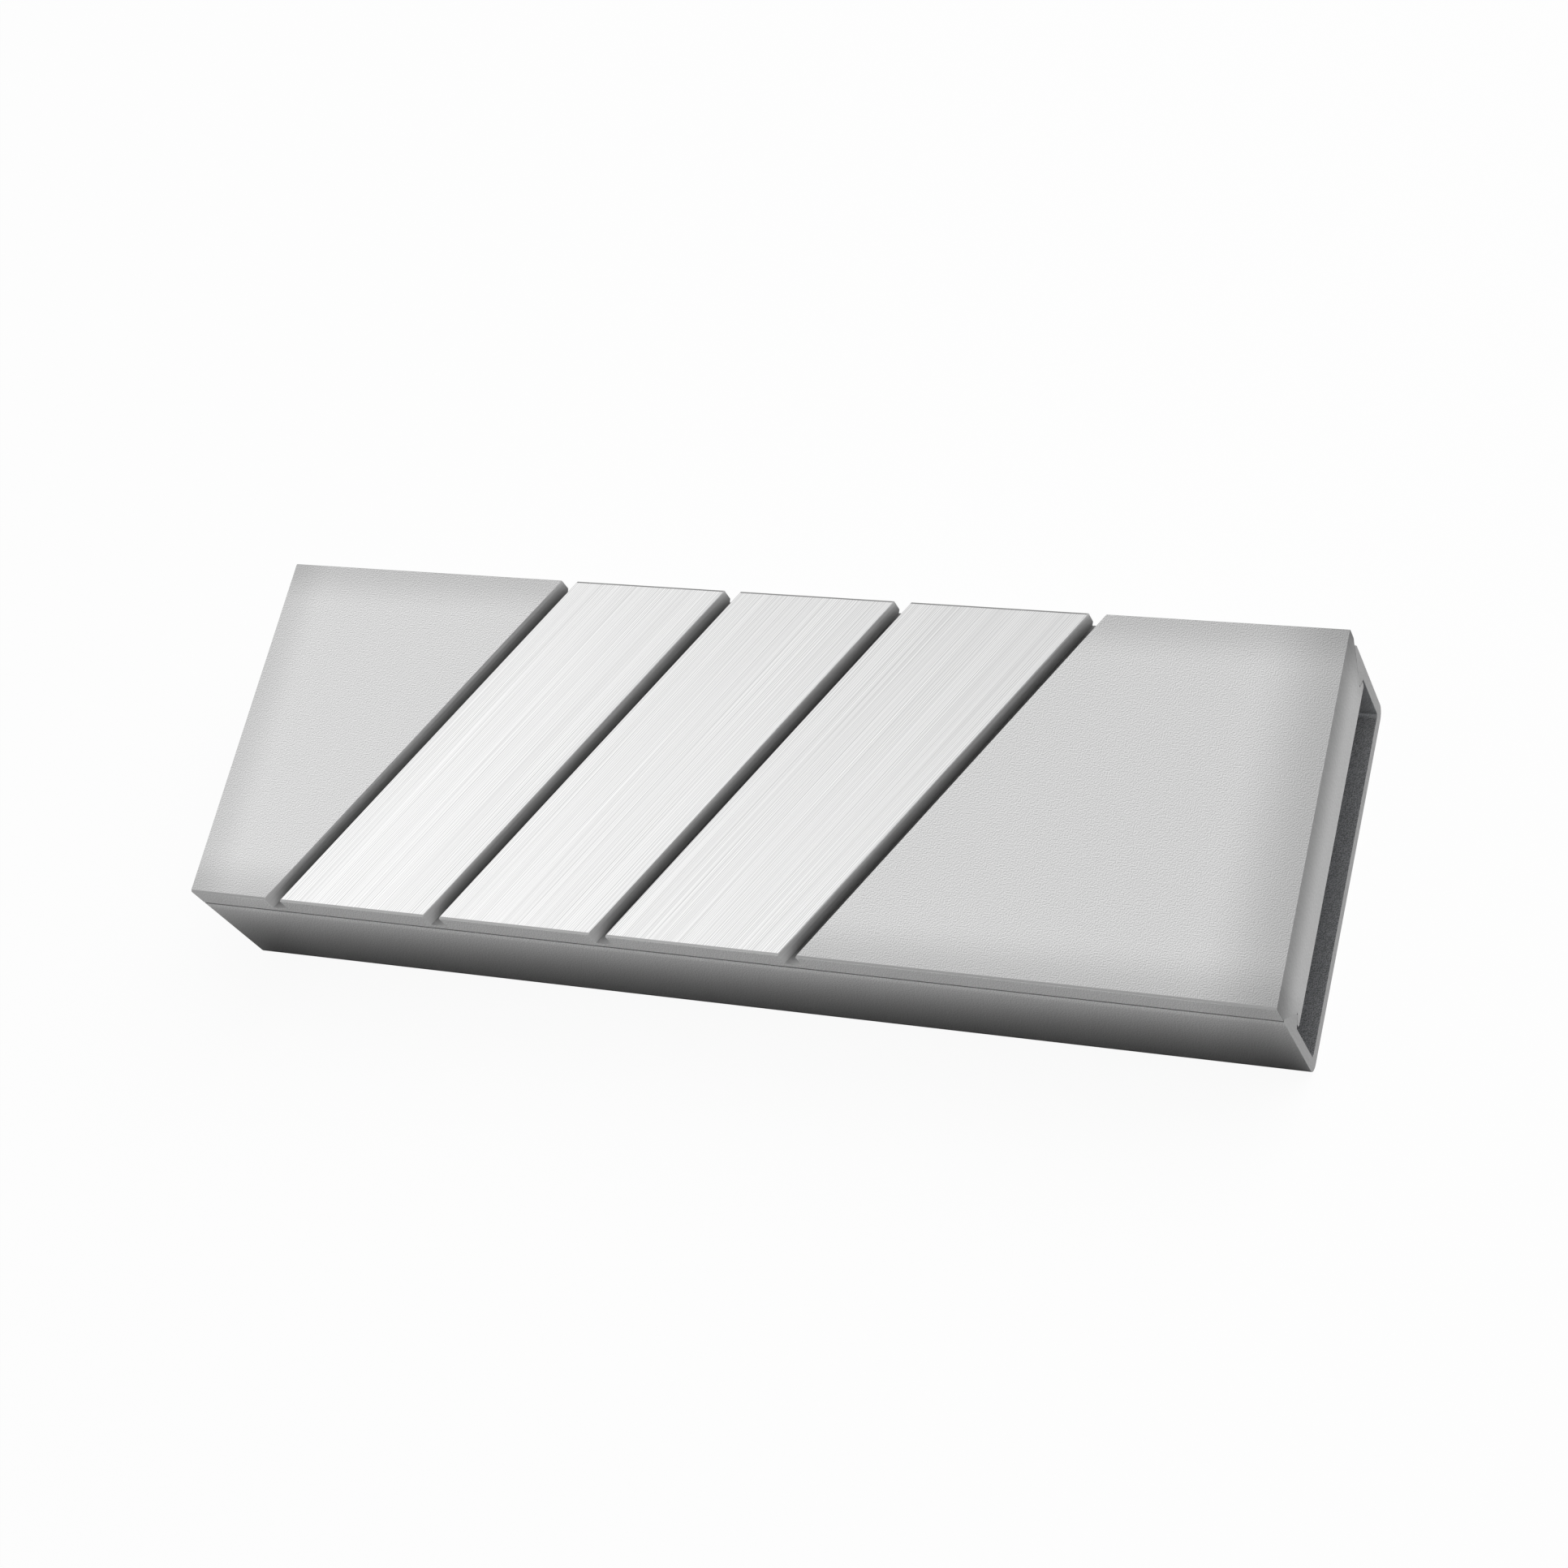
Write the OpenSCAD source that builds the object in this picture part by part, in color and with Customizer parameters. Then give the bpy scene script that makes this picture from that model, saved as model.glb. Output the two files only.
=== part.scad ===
// Two-piece aluminium heat sink for a 22 mm wide solid-state drive card.
// A grooved top slides into the hooked walls of a U-shaped tray.
// A thermal pad on each part presses on the card between them.
// X runs along the length, Y from the near to the far side, Z up.
// The origin is the middle of the tray's flat bottom.

/* [Overall size] */
// Length of both metal parts
body_l = 74; // [66:1:110]
// Width over the tray walls
body_w = 24.7; // [24.3:0.1:30]
// Clear height between the tray floor and the underside of the top
slot_h = 4.6; // [4:0.1:8]

/* [Tray] */
// Thickness of the floor
floor_t = 0.9; // [0.6:0.1:2]
// Thickness of each side wall below its hook
wall_t = 0.8; // [0.5:0.05:0.9]
// Radius of the outer bottom edges
outer_r = 0.8; // [0.2:0.1:1.2]
// Radius where the walls meet the floor inside
inner_r = 0.25; // [0.1:0.05:0.6]

/* [Top] */
// Thickness from the top face to the underside
top_t = 5.55; // [5:0.05:8]
// Chamfer along the long edges of the top face
edge_break = 0.12; // [0.05:0.01:0.3]
// Gap between the tray wall and the flange at the foot of the top
flange_gap = 0.22; // [0.1:0.01:0.5]
// Chamfer along the flange's lower edges
flange_break = 0.12; // [0.05:0.01:0.3]

/* [Hooked joint] */
// Width of the flange's ledge, which the tray's hook takes hold of
ledge_w = 0.58; // [0.4:0.02:1]
// Height of the hook root above the underside of the top
hook_h = 0.86; // [0.7:0.02:1.2]
// Fall of the flange's ledge from the hook root to the flange side
ledge_drop = 0.34; // [0.2:0.02:0.5]
// Flat on the tray hook's tip, which leaves a small void at the root
tip_flat = 0.1; // [0.05:0.01:0.2]
// Clearance between the two parts along the joint
fit_gap = 0.06; // [0.03:0.01:0.1]
// Width of the flat on top of each tray lip
lip_flat = 0.05; // [0.02:0.01:0.15]

/* [Near seam] */
// Height of the top's upright side on the near side
near_skirt = 1.85; // [1.6:0.05:2.2]
// Drop of the near side's lower edge towards the flank
near_fall = 0.1; // [0.05:0.01:0.2]
// Open height of the near seam
seam_gap = 0.12; // [0.1:0.01:0.3]
// Height of the bevel on the near lip
near_bevel_h = 0.08; // [0.04:0.01:0.3]
// Width of the bevel on the near lip
near_bevel_w = 0.04; // [0.02:0.01:0.2]

/* [Far prying notch] */
// Height of the top's upright side on the far side
far_skirt = 1.15; // [0.9:0.05:1.4]
// Height of the notch's upper slope
notch_h = 0.5; // [0.3:0.05:0.7]
// Open height between the notch's upper slope and the tray lip
lip_gap = 0.1; // [0.1:0.01:0.3]
// Height of the bevel on the far lip, which is the notch's lower slope
far_bevel_h = 0.45; // [0.2:0.05:0.6]
// Width of the bevel on the far lip
far_bevel_w = 0.16; // [0.05:0.01:0.3]

/* [Diagonal grooves] */
// Number of brushed strips between the grooves
strips = 3; // [1:1:4]
// Width of each groove
groove_w = 1; // [0.6:0.05:1.6]
// Depth of each groove
groove_d = 1.42; // [0.8:0.02:1.7]
// Slant of the grooves away from the Y axis
groove_angle = 31.1; // [0:0.1:35]
// Distance from the left end to the first groove at mid width
first_groove = 13.7; // [11:0.1:16]
// Distance between grooves, apart from the last
groove_pitch = 11.92; // [8:0.02:12]
// Distance from the last groove to the one before it
last_pitch = 13.03; // [8:0.01:13.5]

/* [Thermal pads] */
// Thickness of the pad under the top
upper_pad_t = 1.5; // [0.5:0.25:1.75]
// Thickness of the pad on the tray floor
lower_pad_t = 1; // [0.5:0.25:1.75]
// Distance of the pads from the tray walls
pad_side_gap = 1.55; // [0.6:0.05:4]
// Distance of the pads from each end of the metal
pad_setback = 2.5; // [2.5:0.5:6]

/* [Hidden] */
$fn = 48;

under_z = floor_t + slot_h;
total_h = under_z + top_t;
pad_l = body_l - 2 * pad_setback;
pad_w = body_w - 2 * (wall_t + pad_side_gap);
flange_inset = wall_t + flange_gap;
hook_reach = flange_inset + ledge_w;
hook_tip = hook_reach - tip_flat;
// Extra length by which a cutter passes the faces it cuts
past = 2;

// Points of the joint are [in from the outer face, down from the top face].
hook_root = [hook_reach, top_t - hook_h];
ledge_end = [flange_inset, top_t - hook_h + ledge_drop];
near_mouth = [mouth_in(near_bevel_w), near_skirt + near_fall];
far_mouth = [mouth_in(far_bevel_w), far_skirt + notch_h];
near_lip = near_skirt + seam_gap;
far_lip = far_skirt + notch_h + lip_gap;

// Inward distance of the top's flank where it leaves the upright side
function mouth_in(bevel_w) = bevel_w + lip_flat + fit_gap;
// Height at which the line from a to b stands at the inward distance t
function down_at(t, a, b) = a[1] + (b[1] - a[1]) * (t - a[0]) / (b[0] - a[0]);
// The tray's flank is the top's, moved out by the clearance.
function flank_down(t, mouth) = down_at(t + fit_gap, mouth, hook_root);
// The underside of the tray's hook is the top's ledge, raised by the clearance.
function hook_under(t) = down_at(t, hook_root, ledge_end) - fit_gap;

// Side of the top from its upper edge down to its underside
function top_side(skirt, mouth) = [
    [edge_break, 0],
    [0, edge_break],
    [0, skirt],
    mouth,
    hook_root,
    ledge_end,
    [flange_inset, top_t - flange_break],
    [flange_inset + flange_break, top_t]
];

// Outside of the tray from its bottom edge up, over the lip and across the flank
function tray_outside(lip, bevel_w, bevel_h) = [
    [0, total_h],
    [0, lip + bevel_h],
    [bevel_w, lip],
    [wall_t, lip]
];

// Side of the space in the tray, down the flank, round the hook and to the floor
function tray_inside(mouth) = [
    [0, flank_down(0, mouth)],
    [hook_tip, flank_down(hook_tip, mouth)],
    [hook_tip, hook_under(hook_tip)],
    [wall_t, hook_under(wall_t)],
    [wall_t, total_h - floor_t]
];

// Places a joint point in the section; side is -1 for near and 1 for far
function place(p, side) = [side * (body_w / 2 - p[0]), total_h - p[1]];
function both_sides(near, far) = concat(
    [for (p = near) place(p, -1)],
    [for (i = [len(far) - 1:-1:0]) place(far[i], 1)]
);

// What a quarter circle takes off a corner
module corner_cut(r) {
    difference() {
        translate([-past, -past]) square(r + past);
        translate([r, r]) circle(r);
    }
}

// Draws a child in the lower corner of each side, mirrored on the near side
module at_corners(inset, height) {
    for (side = [0, 1])
        mirror([side, 0])
            translate([body_w / 2 - inset, height])
                mirror([1, 0])
                    children();
}

// Carries a section drawn in Y and Z along the whole length
module extrusion() {
    rotate([90, 0, 90])
        linear_extrude(body_l, center = true)
            children();
}

module tray_space() {
    difference() {
        polygon(both_sides(tray_inside(near_mouth), tray_inside(far_mouth)));
        at_corners(wall_t, floor_t) corner_cut(inner_r);
    }
}

module tray_section() {
    difference() {
        polygon(both_sides(
            tray_outside(near_lip, near_bevel_w, near_bevel_h),
            tray_outside(far_lip, far_bevel_w, far_bevel_h)
        ));
        tray_space();
        at_corners(0, 0) corner_cut(outer_r);
    }
}

module top_section() {
    polygon(both_sides(top_side(near_skirt, near_mouth), top_side(far_skirt, far_mouth)));
}

// Middle of each groove along X, at mid width
function groove_x(i) = first_groove - body_l / 2
    + groove_pitch * min(i, strips - 1)
    + (i == strips ? last_pitch : 0);

module groove_cutter() {
    rotate([0, 0, -groove_angle])
        translate([-groove_w / 2, -body_w, total_h - groove_d])
            cube([groove_w, 2 * body_w, groove_d + past]);
}

module bottom_tray() {
    color([0.62, 0.62, 0.63])
        extrusion() tray_section();
}

module top_heatsink() {
    color([0.78, 0.78, 0.78])
        difference() {
            extrusion() top_section();
            for (i = [0:strips])
                translate([groove_x(i), 0, 0]) groove_cutter();
        }
}

module thermal_pad(thickness) {
    translate([-pad_l / 2, -pad_w / 2, 0])
        cube([pad_l, pad_w, thickness]);
}

module lower_thermal_pad() {
    color([0.45, 0.47, 0.5])
        translate([0, 0, floor_t]) thermal_pad(lower_pad_t);
}

module upper_thermal_pad() {
    color([0.45, 0.47, 0.5])
        translate([0, 0, under_z - upper_pad_t]) thermal_pad(upper_pad_t);
}

bottom_tray();
top_heatsink();
lower_thermal_pad();
upper_thermal_pad();
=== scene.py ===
"""Looks of a two-piece aluminium heat sink for a 22 mm wide drive card.

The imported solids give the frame. Each is replaced by a finer piece of the same
sizes with broken edges: a grooved top, a hooked tray and two soft thermal pads.
Sizes are in millimetres, and the meshes are made in metres. X runs along the part
and Z up from its base, and the near side is the one with the lower Y.
"""

import logging
import math
from dataclasses import dataclass
from enum import IntEnum
from typing import Optional, Sequence

import bmesh
import bpy
import numpy as np
from mathutils import Matrix, Vector


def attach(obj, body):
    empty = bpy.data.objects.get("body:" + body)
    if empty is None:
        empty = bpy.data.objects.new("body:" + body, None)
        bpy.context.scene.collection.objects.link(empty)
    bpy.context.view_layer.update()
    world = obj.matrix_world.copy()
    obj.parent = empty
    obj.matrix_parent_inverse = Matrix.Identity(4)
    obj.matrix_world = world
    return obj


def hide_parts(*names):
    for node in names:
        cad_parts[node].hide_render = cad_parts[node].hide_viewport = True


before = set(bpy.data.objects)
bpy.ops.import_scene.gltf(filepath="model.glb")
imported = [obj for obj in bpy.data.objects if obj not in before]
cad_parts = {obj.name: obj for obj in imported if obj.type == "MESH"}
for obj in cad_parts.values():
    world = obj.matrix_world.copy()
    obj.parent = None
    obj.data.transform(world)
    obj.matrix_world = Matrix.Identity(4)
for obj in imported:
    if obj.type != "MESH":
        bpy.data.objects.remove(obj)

Pair = tuple[float, float]
Triple = tuple[float, float, float]
Faces = tuple[list, list]
Socket = bpy.types.NodeSocket
Material = bpy.types.Material
Piece = bpy.types.Object

MM = 0.001
LENGTH = 74.0
WIDTH = 24.7
HEIGHT = 11.05
GROOVE_DEG = 31.1
GROOVE_DEPTH = 1.42
BRUSHING_MAP = "across_the_brushing"

NOISE_SPAN = (0.3, 0.7)  # nearly all of a smooth noise lies in it
SLOPE_SWING = 0.2  # nearly all of a stipple's slope is less than this to either side of 0
SHARP_DEG = 25.0  # smallest turn between two faces that counts as an edge
EDGE_STRIPS = 3  # strips across a rounded edge
SAME_PLACE = 1e-6  # in metres

log = logging.getLogger("drive card heat sink")


# Mesh helpers


def metres(points: np.ndarray) -> np.ndarray:
    """Turns millimetres into metres."""
    return np.asarray(points, float) * MM


def carried_section(section: np.ndarray, offsets: np.ndarray, slants: np.ndarray) -> np.ndarray:
    """Carries a section drawn in Y and Z along X, and shears it where a cut is slanted.

    The point for station i and section point j is x = offset_i + slant_i * y_j,
    with y_j and z_j kept, so a slanted station is a plane that leans with Y.

    Args:
        section: Y and Z of each section point, shape (n, 2), in millimetres.
        offsets: X of each station at mid width, shape (m,).
        slants: growth of X with Y at each station, shape (m,).

    Returns:
        Points of shape (m, n, 3), in millimetres.
    """
    y = np.broadcast_to(section[:, 0], (len(offsets), len(section)))
    z = np.broadcast_to(section[:, 1], y.shape)
    x = offsets[:, None] + slants[:, None] * y
    return np.stack([x, y, z], axis=-1)


def band(low: int, high: int, loop: np.ndarray) -> np.ndarray:
    """Quads between two stations, all round a closed loop of section points.

    Args:
        low: first point of the station with the lower X.
        high: first point of the station with the higher X.
        loop: section point numbers, anticlockwise as seen from +X.

    Returns:
        Faces of shape (k, 4), which look outwards.
    """
    after = np.roll(loop, -1)
    return np.stack([low + loop, low + after, high + after, high + loop], axis=-1)


def corner_arc(centre: Pair, radius: float, steps: int) -> np.ndarray:
    """Quarter circle from its lowest to its outermost point, as joint points.

    The points are centre + radius * (cos, sin) of even angles from 90 to 180 degrees.

    Args:
        centre: middle of the arc.
        radius: its radius.
        steps: number of straight pieces that it is made of.

    Returns:
        Points of shape (steps + 1, 2).
    """
    angle = np.radians(90 + np.linspace(0, 90, steps + 1))
    return np.asarray(centre, float) + radius * np.stack([np.cos(angle), np.sin(angle)], axis=-1)


def solid_piece(name: str, points: np.ndarray, faces: Sequence[Sequence[int]],
                zones: Sequence[int], finishes: Sequence[Material]) -> Piece:
    """Makes one closed piece at the origin, with its place in its mesh.

    Args:
        name: name of the piece.
        points: vertices in millimetres, any shape that ends in 3.
        faces: vertex numbers of each face, anticlockwise from outside.
        zones: number of the finish of each face.
        finishes: materials of the piece, in the order of their numbers.

    Returns:
        The new object, in the scene.
    """
    mesh = bpy.data.meshes.new(name)
    corners = [list(map(int, face)) for face in faces]
    mesh.from_pydata(metres(points).reshape(-1, 3).tolist(), [], corners)
    mesh.polygons.foreach_set("material_index", np.asarray(zones, np.int32))
    for finish in finishes:
        mesh.materials.append(finish)
    mesh.validate()
    mesh.update()
    piece = bpy.data.objects.new(name, mesh)
    bpy.context.scene.collection.objects.link(piece)
    return piece


def break_edges(piece: Piece, width: float, crisp: np.ndarray,
                rims: Optional[np.ndarray] = None, rim_width: float = 0.0) -> None:
    """Rounds the sharp edges of a piece a little, as tumbling does.

    Args:
        piece: the piece.
        width: width of the rounding in millimetres.
        crisp: for each vertex, whether an edge between two such vertices stays crisp.
        rims: for each vertex, whether an edge that crosses the piece between two such
            vertices gets the rounding of a rim.
        rim_width: width of that rounding in millimetres.
    """
    widest = max(width, rim_width)
    shape = bmesh.new()
    shape.from_mesh(piece.data)
    weight = shape.edges.layers.float.new("bevel_weight_edge")
    for edge in shape.edges:
        a, b = edge.verts
        is_sharp = edge.calc_face_angle(0.0) > math.radians(SHARP_DEG)
        is_crisp = crisp[a.index] and crisp[b.index]
        crosses = abs(a.co.y - b.co.y) > SAME_PLACE
        is_rim = rims is not None and crosses and rims[a.index] and rims[b.index]
        share = (rim_width if is_rim else width) / widest
        edge[weight] = share if is_sharp and not is_crisp else 0.0
        edge.smooth = not (is_sharp and is_crisp)
    shape.to_mesh(piece.data)
    shape.free()
    piece.data.shade_smooth()
    bevel = piece.modifiers.new("broken_edges", "BEVEL")
    bevel.width = widest * MM
    bevel.segments = EDGE_STRIPS
    bevel.limit_method = "WEIGHT"
    bevel.harden_normals = True
    bevel.use_clamp_overlap = True


# Finishes


def grey(level: float) -> Triple:
    """A neutral colour."""
    return (level, level, level)


class Nodes:
    """A node tree, with short ways to add what the finishes and the studio share."""

    def __init__(self, tree: bpy.types.NodeTree) -> None:
        """Takes the nodes and links of a tree."""
        self.nodes, self.links = tree.nodes, tree.links

    def add(self, kind: str, inputs: Optional[dict] = None) -> bpy.types.Node:
        """Adds a node.

        Args:
            kind: Blender's name of the node.
            inputs: for an input's name or number, the socket or plain value that it gets.

        Returns:
            The node.
        """
        node = self.nodes.new(kind)
        for key, value in (inputs or {}).items():
            if isinstance(value, Socket):
                self.links.new(value, node.inputs[key])
            else:
                node.inputs[key].default_value = value
        return node

    def calc(self, operation: str, *terms: object) -> Socket:
        """One sum on values that change over the surface.

        Args:
            operation: name of the sum.
            terms: sockets or plain numbers.

        Returns:
            The result.
        """
        node = self.add("ShaderNodeMath", dict(enumerate(terms)))
        node.operation = operation
        return node.outputs[0]

    def spread(self, source: Socket, low: float, high: float, to_low: float, to_high: float,
               soft: bool = False) -> Socket:
        """Carries a range of values to another range, and holds it at both ends.

        Args:
            source: the value.
            low: value that gives to_low.
            high: value that gives to_high.
            to_low: result at low.
            to_high: result at high.
            soft: eases in and out.

        Returns:
            The result.
        """
        node = self.add("ShaderNodeMapRange", {
            "Value": source, "From Min": low, "From Max": high,
            "To Min": to_low, "To Max": to_high})
        node.interpolation_type = "SMOOTHSTEP" if soft else "LINEAR"
        return node.outputs["Result"]


class Recipe(Nodes):
    """Nodes of one finish, which read the place on the piece in metres."""

    def __init__(self, name: str) -> None:
        """Starts a finish with its surface shader.

        Args:
            name: name of the material.
        """
        self.material = bpy.data.materials.new(name)
        self.material.use_nodes = True
        super().__init__(self.material.node_tree)
        self.shader = self.nodes["Principled BSDF"]
        self.place = self.add("ShaderNodeTexCoord").outputs["Object"]

    def feed(self, socket: str, source: Socket) -> None:
        """Links a source to a socket of the shader."""
        self.links.new(source, self.shader.inputs[socket])

    def axes(self) -> Sequence[Socket]:
        """X, Y and Z of the place on the piece."""
        return self.add("ShaderNodeSeparateXYZ", {"Vector": self.place}).outputs

    def across_grooves(self) -> Socket:
        """Place on the piece, turned about Z so that its X lies across the slanted grooves."""
        turn = (0, 0, math.radians(GROOVE_DEG))
        return self.add("ShaderNodeMapping", {"Vector": self.place, "Rotation": turn}).outputs[0]

    def noise(self, place: Socket, grain: Triple, detail: float = 0.0,
              roughness: float = 0.5) -> Socket:
        """Smooth noise from 0 to 1 with cells of a given size.

        Args:
            place: a place in metres.
            grain: size of a cell along X, Y and Z, in millimetres.
            detail: number of finer layers.
            roughness: weight of the finer layers.

        Returns:
            The noise's value.
        """
        counted = self.add("ShaderNodeMapping", {
            "Vector": place, "Scale": [1 / (size * MM) for size in grain]})
        node = self.add("ShaderNodeTexNoise", {
            "Vector": counted.outputs["Vector"], "Scale": 1.0, "Detail": detail,
            "Roughness": roughness})
        return node.outputs["Fac"]

    def stipple(self, place: Socket, grain: Triple, step: Triple) -> tuple[Socket, Socket]:
        """Fine relief: a noise, and its slope along a step, which shows its pits and crests.

        The slope is noise(place) - noise(place + step), around 0. On a wide face the
        step lies in the face, because one across it would add blotches.

        Args:
            place: a place in metres.
            grain: size of a cell along X, Y and Z, in millimetres.
            step: the step along X, Y and Z, in cells.

        Returns:
            The height from 0 to 1 and the slope.
        """
        height = self.noise(place, grain)
        way = [size * MM * part for size, part in zip(grain, step)]
        moved = self.add("ShaderNodeVectorMath", {0: place, 1: way})
        moved.operation = "ADD"
        return height, self.calc("SUBTRACT", height, self.noise(moved.outputs["Vector"], grain))

    def over(self, axis: Socket, start: float, end: float, first: float, last: float,
             soft: bool = True) -> Socket:
        """Level that goes from first at start to last at end along an axis, in millimetres."""
        return self.spread(axis, start * MM, end * MM, first, last, soft)

    def to_both(self, axis: Socket, end: float, reach: float, inner: float,
                outer: float) -> Socket:
        """Level that eases from inner to outer over a reach before both ends of an axis."""
        return self.over(self.calc("ABSOLUTE", axis), end - reach, end, inner, outer)

    def vary(self, noise: Socket, share: float) -> Socket:
        """Level around 1 that a noise moves by a share to either side."""
        return self.spread(noise, *NOISE_SPAN, 1 - share, 1 + share)

    def fleck(self, slope: Socket, share: float, swing: float = SLOPE_SWING) -> Socket:
        """Level around 1 that a stipple's slope moves by a share to either side."""
        return self.spread(slope, -swing, swing, 1 - share, 1 + share)


@dataclass(frozen=True)
class Pattern:
    """What a finish draws: levels that multiply its colour, and two values from 0 to 1.

    The roughness follows rough, and height is the height of the relief.
    """

    levels: list[Socket]
    rough: Socket
    height: Socket


@dataclass(frozen=True)
class Finish:
    """What all finishes share: a colour times soft levels, some of them painted shade and light,
    under a fine relief.

    Attributes:
        name: name of the material.
        colour: red, green and blue, before the levels.
        metallic: 1 for metal, 0 for anything else.
        roughness: lowest and highest roughness.
        grain: size of a grain along X, Y and Z.
        step: step of the grain's slope, in grains.
        speckle: how much the grain shows.
        relief: depth of the relief, and the share of it that shows.
    """

    name: str = ""
    colour: Triple = grey(0.5)
    metallic: float = 1.0
    roughness: Pair = (0.5, 0.5)
    grain: Triple = (0.085, 0.085, 0.085)
    step: Triple = (0.0, 0.0, 0.0)
    speckle: float = 0.0
    relief: Pair = (0.01, 0.5)

    def pattern(self, r: Recipe) -> Pattern:
        """Draws the pattern of this finish.

        Args:
            r: recipe that takes its nodes.

        Returns:
            The pattern.
        """
        raise NotImplementedError

    def make(self) -> Material:
        """Builds the material from its pattern.

        Returns:
            The material.
        """
        r = Recipe(self.name)
        pattern = self.pattern(r)
        level = pattern.levels[0]
        for factor in pattern.levels[1:]:
            level = r.calc("MULTIPLY", level, factor)
        tinted = r.add("ShaderNodeVectorMath", {0: self.colour})
        tinted.operation = "SCALE"
        r.links.new(level, tinted.inputs["Scale"])
        r.feed("Base Color", tinted.outputs["Vector"])
        r.feed("Roughness", r.spread(pattern.rough, *NOISE_SPAN, *self.roughness))
        r.shader.inputs["Metallic"].default_value = self.metallic
        depth, share = self.relief
        bumped = r.add("ShaderNodeBump", {
            "Height": pattern.height, "Distance": depth * MM, "Strength": share})
        r.feed("Normal", bumped.outputs["Normal"])
        return r.material


@dataclass(frozen=True)
class BlastedPlate(Finish):
    """Bead-blasted and clear anodised face of the wide plates at both ends.

    It is darkened by painted shade towards the left and right end and both sides, each
    of which is given as the level there and the length of its change.
    """

    name: str = "blasted_plate"
    colour: Triple = grey(0.61)
    roughness: Pair = (0.42, 0.52)
    step: Triple = (0.4, -0.4, 0.0)
    speckle: float = 0.19
    relief: Pair = (0.02, 0.6)
    # painted shade: level at each end or side, and how far in it reaches
    left: Pair = (0.86, 3.2)
    right: Pair = (0.74, 5.5)
    side: Pair = (0.81, 3.2)

    def pattern(self, r: Recipe) -> Pattern:
        """Draws blasted grain, and a soft shade along the outer edges.

        Args:
            r: recipe that takes its nodes.

        Returns:
            The pattern.
        """
        x, y, _ = r.axes()
        (left, left_reach), (right, right_reach) = self.left, self.right
        side, side_reach = self.side
        grain, slope = r.stipple(r.place, self.grain, self.step)
        # the first three levels are painted shade towards the ends and the sides
        return Pattern([
            r.over(x, -LENGTH / 2, left_reach - LENGTH / 2, left, 1),
            r.over(x, LENGTH / 2 - right_reach, LENGTH / 2, 1, right),
            r.to_both(y, WIDTH / 2, side_reach, 1, side),
            r.fleck(slope, self.speckle)], grain, grain)


@dataclass(frozen=True)
class BrushedStrip(Finish):
    """Bright strip between two grooves, brushed along them: its grain is a brush line.

    The slope of the lines swings to either side of 0 by swing, and wide streaks lie
    over them. The levels painted_light_near_far, which hold at the two long sides, and
    painted_light_left_right, which hold at the two X of fall, are a painted light gradient. The
    shine is longer across the lines by stretch.
    """

    name: str = "brushed_strip"
    colour: Triple = grey(0.73)
    roughness: Pair = (0.33, 0.35)
    grain: Triple = (0.052, 18.0, 5.0)
    step: Triple = (0.5, 0.0, 0.0)
    speckle: float = 0.26
    relief: Pair = (0.002, 0.5)
    swing: float = 0.25
    streak: Triple = (0.4, 45.0, 5.0)
    streak_contrast: float = 0.035
    # painted light gradient: lighter towards the near side and the left end
    painted_light_near_far: Pair = (1.01, 0.96)
    painted_light_span: Pair = (-14.0, 14.0)
    painted_light_left_right: Pair = (1.01, 0.97)
    stretch: float = 0.6

    def pattern(self, r: Recipe) -> Pattern:
        """Draws fine lines and wide streaks along the grooves, and stretches the shine.

        Args:
            r: recipe that takes its nodes.

        Returns:
            The pattern.
        """
        across = r.across_grooves()
        lines, slope = r.stipple(across, self.grain, self.step)
        x, y, _ = r.axes()
        r.shader.inputs["Anisotropic"].default_value = self.stretch
        tangent = r.add("ShaderNodeTangent")
        tangent.direction_type = "UV_MAP"
        tangent.uv_map = BRUSHING_MAP
        r.feed("Tangent", tangent.outputs["Tangent"])
        return Pattern([
            r.fleck(slope, self.speckle, self.swing),
            r.vary(r.noise(across, self.streak, detail=1), self.streak_contrast),
            # painted light gradient across and along the part
            r.over(y, -WIDTH / 2, WIDTH / 2, *self.painted_light_near_far, soft=False),
            r.over(x, *self.painted_light_span, *self.painted_light_left_right, soft=False)], lines, lines)


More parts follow.
